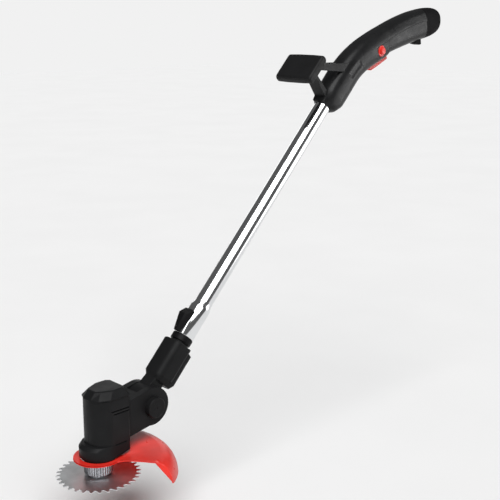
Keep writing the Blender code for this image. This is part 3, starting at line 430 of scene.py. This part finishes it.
def bake(piece, keep_normals=False):
    """Turns the piece's modifiers into mesh."""
    shape = piece.evaluated_get(bpy.context.evaluated_depsgraph_get())
    mesh = bpy.data.meshes.new_from_object(shape)
    old = piece.data
    piece.modifiers.clear()
    piece.data = mesh
    bpy.data.meshes.remove(old)
    if not keep_normals:
        mesh.shade_smooth()
        mesh.set_sharp_from_angle(angle=SMOOTH_ANGLE)


def refine(node, width, angle):
    """A copy of a CAD node with its edges rounded as a moulding's are."""
    mesh_data = bmesh.new()
    mesh_data.from_mesh(nodes[node].data)
    bmesh.ops.remove_doubles(mesh_data, verts=mesh_data.verts, dist=MERGE_DISTANCE)
    bmesh.ops.dissolve_limit(mesh_data, angle_limit=FLAT_ANGLE, verts=mesh_data.verts, edges=mesh_data.edges)
    piece = place(node + "_fine", mesh_data, [node])
    edge = piece.modifiers.new("round", "BEVEL")
    edge.width = width * MM
    edge.segments = BEVEL_SEGMENTS
    edge.limit_method = "ANGLE"
    edge.angle_limit = math.radians(angle)
    edge.use_clamp_overlap = True
    flat = piece.modifiers.new("flat", "WEIGHTED_NORMAL")
    flat.weight = BEVEL_NORMAL_WEIGHT
    flat.keep_sharp = True
    bake(piece, True)


for node, width in EDGE_WIDTHS.items():
    refine(node, width, CAP_EDGE_ANGLE if node == "motor_top_cap" else EDGE_ANGLE)


def shorten(node, joint):
    """A copy of a spring, with a mesh of its own, that moves with its body; it is not pressed shorter."""
    mesh_data = bmesh.new()
    mesh_data.from_mesh(nodes[node].data)
    piece = place(node + "_fine", mesh_data, [node])
    low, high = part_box(node)
    middle = (low + high) / 2
    direction = Vector(joint["axis"])
    if joint["type"] == "slide":
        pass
    else:
        direction = direction.cross(middle - Vector(joint["pos_m"]))
    direction = direction.normalized()
    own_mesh(piece)


for joint in joints.values():
    for entry in joint.get("deforming_nodes", []):
        shorten(entry["node"], joint)


def handle_point(t):
    """Place and slope on the handle's centre line, t millimetres from its mouth."""
    slope = SHAFT_ANGLE
    x = PIVOT.x + HANDLE_START_S * math.cos(slope) + HANDLE_DROP * math.sin(slope)
    z = PIVOT.z + HANDLE_START_S * math.sin(slope) - HANDLE_DROP * math.cos(slope)
    run = min(t, HANDLE_STRAIGHT)
    x += run * math.cos(slope)
    z += run * math.sin(slope)
    left = t - run
    for radius, turn in HANDLE_ARCS:
        used = min(left / radius, turn)
        x += radius * (math.sin(slope) - math.sin(slope - used))
        z += radius * (math.cos(slope - used) - math.cos(slope))
        slope -= used
        left -= used * radius
    return x + left * math.cos(slope), z + left * math.sin(slope), slope


def section_at(sections, t):
    """Half width, height up and height down at t, on a smooth curve through the sections."""
    index = 1
    while index < len(sections) - 1 and sections[index][0] < t:
        index += 1
    low, high = sections[index - 1], sections[index]
    before = sections[max(index - 2, 0)]
    after = sections[min(index + 1, len(sections) - 1)]
    span = high[0] - low[0]
    share = min(max((t - low[0]) / span, 0.0), 1.0)
    sizes = []
    for part in (1, 2, 3):
        rise = high[part] - low[part]
        slope_low = (high[part] - before[part]) / max(high[0] - before[0], 1e-6) * span
        slope_high = (after[part] - low[part]) / max(after[0] - low[0], 1e-6) * span
        if rise == 0.0:
            slope_low = slope_high = 0.0
        limit = 3.0 * abs(rise)
        slope_low = min(max(slope_low, -limit), limit)
        slope_high = min(max(slope_high, -limit), limit)
        square, cube = share * share, share ** 3
        sizes.append(low[part] * (2 * cube - 3 * square + 1) + high[part] * (3 * square - 2 * cube)
                     + slope_low * (cube - 2 * square + share) + slope_high * (cube - square))
    return sizes


def side_relief(t, rise):
    """Depth of the side's moulded detail at a height from -1 to 1: a long scooped panel and a seam."""
    crease = CREASE_HEIGHT + CREASE_LIFT * smooth(t, *CREASE_SPAN)
    panel = smooth(crease - rise, 0.0, CREASE_WIDTH) * smooth(rise, *PANEL_LOWER_EDGE)
    depth = PANEL_DEPTH * panel * smooth(t, *PANEL_START) * (1.0 - smooth(t, *PANEL_END))
    seam = SEAM_DEPTH * (1.0 - smooth(abs(t - SEAM_PLACE - SEAM_LEAN * rise), 0.0, SEAM_WIDTH))
    return max(depth, seam)


def plate_share(t, rise):
    """1 on the small flat plate moulded into the side, 0 off it."""
    share = smooth(t, *PLATE_START) * (1.0 - smooth(t, *PLATE_END))
    return share * smooth(rise, *PLATE_LOWER_EDGE) * (1.0 - smooth(rise, *PLATE_UPPER_EDGE))


def handle_loop(t, sizes, count, wall=0.0, square=HANDLE_SQUARE, lift=0.0, relief=True):
    """One ring of the handle's outline, t millimetres from its mouth."""
    x, z, slope = handle_point(t)
    half_y, up, down = (size - wall for size in sizes)
    loop = []
    for step in range(count):
        angle = 2 * math.pi * (step + 0.5) / count
        side = math.copysign(abs(math.cos(angle)) ** (2 / square), math.cos(angle))
        rise = math.copysign(abs(math.sin(angle)) ** (2 / square), math.sin(angle))
        depth = side_relief(t, rise) * smooth(abs(side), *RELIEF_SIDE) if relief else 0.0
        above = lift + rise * (up if rise > 0 else down)
        out = max(abs(side) * half_y - depth, 0.0)
        if relief:
            flat = half_y * PLATE_REACH
            out += (flat - out) * plate_share(t, rise)
        loop.append((x - above * math.sin(slope), math.copysign(out, side), z + above * math.cos(slope)))
    return loop


def skin(rings):
    """A closed skin over a row of rings."""
    mesh_data = bmesh.new()
    rows = [[mesh_data.verts.new(world(point)) for point in ring] for ring in rings]
    count = len(rows[0])
    for low, high in zip(rows, rows[1:]):
        for index in range(count):
            after = (index + 1) % count
            mesh_data.faces.new((low[index], low[after], high[after], high[index]))
    mesh_data.faces.new(list(reversed(rows[0])))
    mesh_data.faces.new(rows[-1])
    bmesh.ops.recalc_face_normals(mesh_data, faces=mesh_data.faces)
    return mesh_data


def boolean(piece, mesh_data, operation):
    """Cuts the piece by the mesh, or keeps only what lies inside it."""
    mesh = bpy.data.meshes.new("tool")
    mesh_data.to_mesh(mesh)
    mesh_data.free()
    tool = bpy.data.objects.new("tool", mesh)
    bpy.context.scene.collection.objects.link(tool)
    step = piece.modifiers.new("cut", "BOOLEAN")
    step.operation = operation
    step.solver = "EXACT"
    step.object = tool
    bpy.context.view_layer.update()
    bake(piece)
    bpy.data.objects.remove(tool)
    bpy.data.meshes.remove(mesh)


def block(low, high, turn=None):
    """A box in millimetres, in the tool's own frame or in the frame turn."""
    mesh_data = bmesh.new()
    bmesh.ops.create_cube(mesh_data, size=1.0)
    for vert in mesh_data.verts:
        spot = Vector([low[k] + (vert.co[k] + 0.5) * (high[k] - low[k]) for k in range(3)])
        vert.co = world(turn @ spot if turn else spot)
    return mesh_data


def rod(radius, low, high, turn):
    """A rod along Y in the frame turn."""
    rings = []
    for level in (low, high):
        angles = [2 * math.pi * k / ROD_SIDES for k in range(ROD_SIDES)]
        rings.append([turn @ Vector((radius * math.cos(a), level, radius * math.sin(a))) for a in angles])
    return skin(rings)


def along_handle(t, offset):
    """Frame on the handle's path: +X along it, +Z across it."""
    x, z, slope = handle_point(t)
    spot = Vector((x - offset * math.sin(slope), 0.0, z + offset * math.cos(slope)))
    return Matrix.Translation(spot) @ Matrix.Rotation(-slope, 4, "Y")


def build_handle():
    """The two hollow handle shells with their openings, and the tail behind them."""
    stations = [*MOUTH_STATIONS] + [STATION_START + STATION_STEP * k for k in range(STATION_COUNT)]
    stations = [t for t in stations if t < HANDLE_END] + [HANDLE_END]
    rings = []
    for t in stations:
        round_end = 1.0 - smooth(t, 0.0, MOUTH_ROUND_END)
        square = HANDLE_SQUARE - (HANDLE_SQUARE - ROUND_SQUARE) * round_end
        sizes = section_at(HANDLE_SECTIONS, t)
        rings.append(handle_loop(t, sizes, HANDLE_SIDES, 0.0, square, HANDLE_DROP * round_end))
    seat = [TUBE_SEAT_R] * 3
    hollow = [handle_loop(t, seat, HOLLOW_SIDES, 0.0, ROUND_SQUARE, HANDLE_DROP, False)
              for t in (TUBE_SEAT_START, TUBE_SEAT_END)]
    hollow_t = [HOLLOW_RING_START + HOLLOW_RING_STEP * k for k in range(HOLLOW_RING_COUNT)]
    for t in [HOLLOW_START] + hollow_t + [HOLLOW_END]:
        sizes = section_at(HANDLE_SECTIONS, min(t, HANDLE_END))
        wall = HANDLE_WALL + PANEL_DEPTH * 0.5
        hollow.append(handle_loop(t, sizes, HOLLOW_SIDES, wall, HANDLE_SQUARE, 0.0, False))
    for name, sign in (("handle_left_shell", -1), ("handle_right_shell", 1)):
        piece = place(name + "_fine", skin(rings), [name])
        near, far = sorted((sign * HALF_GAP, sign * SHELL_REACH))
        half = block((SHELL_X[0], near, SHELL_Z[0]), (SHELL_X[1], far, SHELL_Z[1]))
        boolean(piece, half, "INTERSECT")
        boolean(piece, skin(hollow), "DIFFERENCE")
        boolean(piece, block(*TRIGGER_CUT, along_handle(*TRIGGER_PLACE)), "DIFFERENCE")
        boolean(piece, block(*CATCH_CUT, along_handle(*CATCH_PLACE)), "DIFFERENCE")
        if sign < 0:
            boolean(piece, rod(*BUTTON_CUT, along_handle(*BUTTON_PLACE)), "DIFFERENCE")
    start, end = TAIL_SECTIONS[0][0], TAIL_SECTIONS[-1][0]
    tail_t = [start + (end - start) * math.sin(math.pi / 2 * k / TAIL_RINGS) for k in range(TAIL_RINGS + 1)]
    tail = [handle_loop(t, section_at(TAIL_SECTIONS, t), HANDLE_SIDES) for t in tail_t]
    piece = place("battery_tail_cap_fine", skin(tail), ["battery_tail_cap"])
    boolean(piece, block(*TAIL_SLOT_CUT, along_handle(*TAIL_SLOT_PLACE)), "DIFFERENCE")


def build_tube():
    """The tube with its flared socket, turned finely so its reflections run straight."""
    turn = Matrix.Translation(PIVOT) @ Matrix.Rotation(math.pi / 2 - SHAFT_ANGLE, 4, "Y")
    inner = [(radius - TUBE_WALL, height) for radius, height in reversed(TUBE_OUTLINE)]
    angles = [2 * math.pi * k / TUBE_SIDES for k in range(TUBE_SIDES)]
    mesh_data = bmesh.new()
    rows = []
    for radius, height in [*TUBE_OUTLINE] + inner:
        ring = [Vector((radius * math.cos(a), radius * math.sin(a), height)) for a in angles]
        rows.append([mesh_data.verts.new(world(turn @ point)) for point in ring])
    for low, high in zip(rows, rows[1:] + rows[:1]):
        for k in range(TUBE_SIDES):
            after = (k + 1) % TUBE_SIDES
            mesh_data.faces.new((low[k], low[after], high[after], high[k]))
    bmesh.ops.recalc_face_normals(mesh_data, faces=mesh_data.faces)
    place("shaft_tube_fine", mesh_data, ["shaft_tube"])


build_handle()
build_tube()


# Floor, light and camera

def stage_floor():
    """A plain floor, low enough for the head to clear it at the end of its tilt."""
    low = cad_box[0][2] - FLOOR_DROP
    reach = FLOOR_REACH
    corners = [(-reach, -reach, low), (reach, -reach, low), (reach, reach, low), (-reach, reach, low)]
    mesh = bpy.data.meshes.new("floor")
    mesh.from_pydata(corners, [], [(0, 1, 2, 3)])
    floor = bpy.data.objects.new("floor", mesh)
    bpy.context.scene.collection.objects.link(floor)
    look = Surface("floor_look", FLOOR_COLOR, 0.0, FLOOR_ROUGHNESS)
    look.shader.inputs["Specular IOR Level"].default_value = 0.0
    scale, detail, shade_low, shade_high = FLOOR_SHADE
    look.tint(look.noise(scale, detail), shade_low, shade_high)
    mesh.materials.append(look.material)


def add_light(name, location, target, size, power):
    """A soft card that shows in reflections only, so that the floor stays even."""
    data = bpy.data.lights.new(name, "AREA")
    data.shape = "RECTANGLE"
    data.size, data.size_y = size
    data.energy = power
    item = bpy.data.objects.new(name, data)
    bpy.context.scene.collection.objects.link(item)
    item.location = location
    item.rotation_euler = (Vector(target) - Vector(location)).to_track_quat("-Z", "Y").to_euler()
    item.visible_camera = False
    item.visible_diffuse = False


def add_sun(direction, strength, spread):
    """The main light, as wide as a large softbox."""
    data = bpy.data.lights.new("sun", "SUN")
    data.energy = strength
    data.angle = math.radians(spread)
    item = bpy.data.objects.new("sun", data)
    bpy.context.scene.collection.objects.link(item)
    item.rotation_euler = Vector(direction).to_track_quat("-Z", "Y").to_euler()


def set_world(seen, around):
    """A pale background, and a dimmer studio around the object."""
    world_data = bpy.data.worlds.new("studio")
    world_data.use_nodes = True
    tree = world_data.node_tree
    backdrop = tree.nodes["Background"]
    backdrop.inputs["Color"].default_value = (*seen, 1.0)
    room = tree.nodes.new("ShaderNodeBackground")
    room.inputs["Color"].default_value = (*around, 1.0)
    mix = tree.nodes.new("ShaderNodeMixShader")
    path = tree.nodes.new("ShaderNodeLightPath")
    tree.links.new(path.outputs["Is Camera Ray"], mix.inputs["Fac"])
    tree.links.new(room.outputs["Background"], mix.inputs[1])
    tree.links.new(backdrop.outputs["Background"], mix.inputs[2])
    tree.links.new(mix.outputs["Shader"], tree.nodes["World Output"].inputs["Surface"])
    bpy.context.scene.world = world_data


def set_camera():
    """The camera at the photograph's angle."""
    data = bpy.data.cameras.new("camera")
    data.lens = CAMERA_LENS
    data.sensor_width = CAMERA_SENSOR
    camera = bpy.data.objects.new("camera", data)
    bpy.context.scene.collection.objects.link(camera)
    level = math.cos(CAMERA_ELEVATION)
    back = Vector((math.sin(CAMERA_AZIMUTH) * level, -math.cos(CAMERA_AZIMUTH) * level,
                   math.sin(CAMERA_ELEVATION)))
    right = Vector((math.cos(CAMERA_AZIMUTH), math.sin(CAMERA_AZIMUTH), 0.0))
    up = back.cross(right)
    turn = Matrix((right, up, back)).transposed() @ Matrix.Rotation(CAMERA_ROLL, 3, "Z")
    camera.matrix_world = Matrix.Translation(world(CAMERA_PLACE)) @ turn.to_4x4()
    bpy.context.scene.camera = camera


bpy.context.scene.view_settings.view_transform = "Standard"
stage_floor()
set_world(BACKDROP_COLOR, ROOM_COLOR)
add_sun(SUN_DIRECTION, SUN_STRENGTH, SUN_SPREAD)
for card in CARDS:
    add_light(*card)
set_camera()
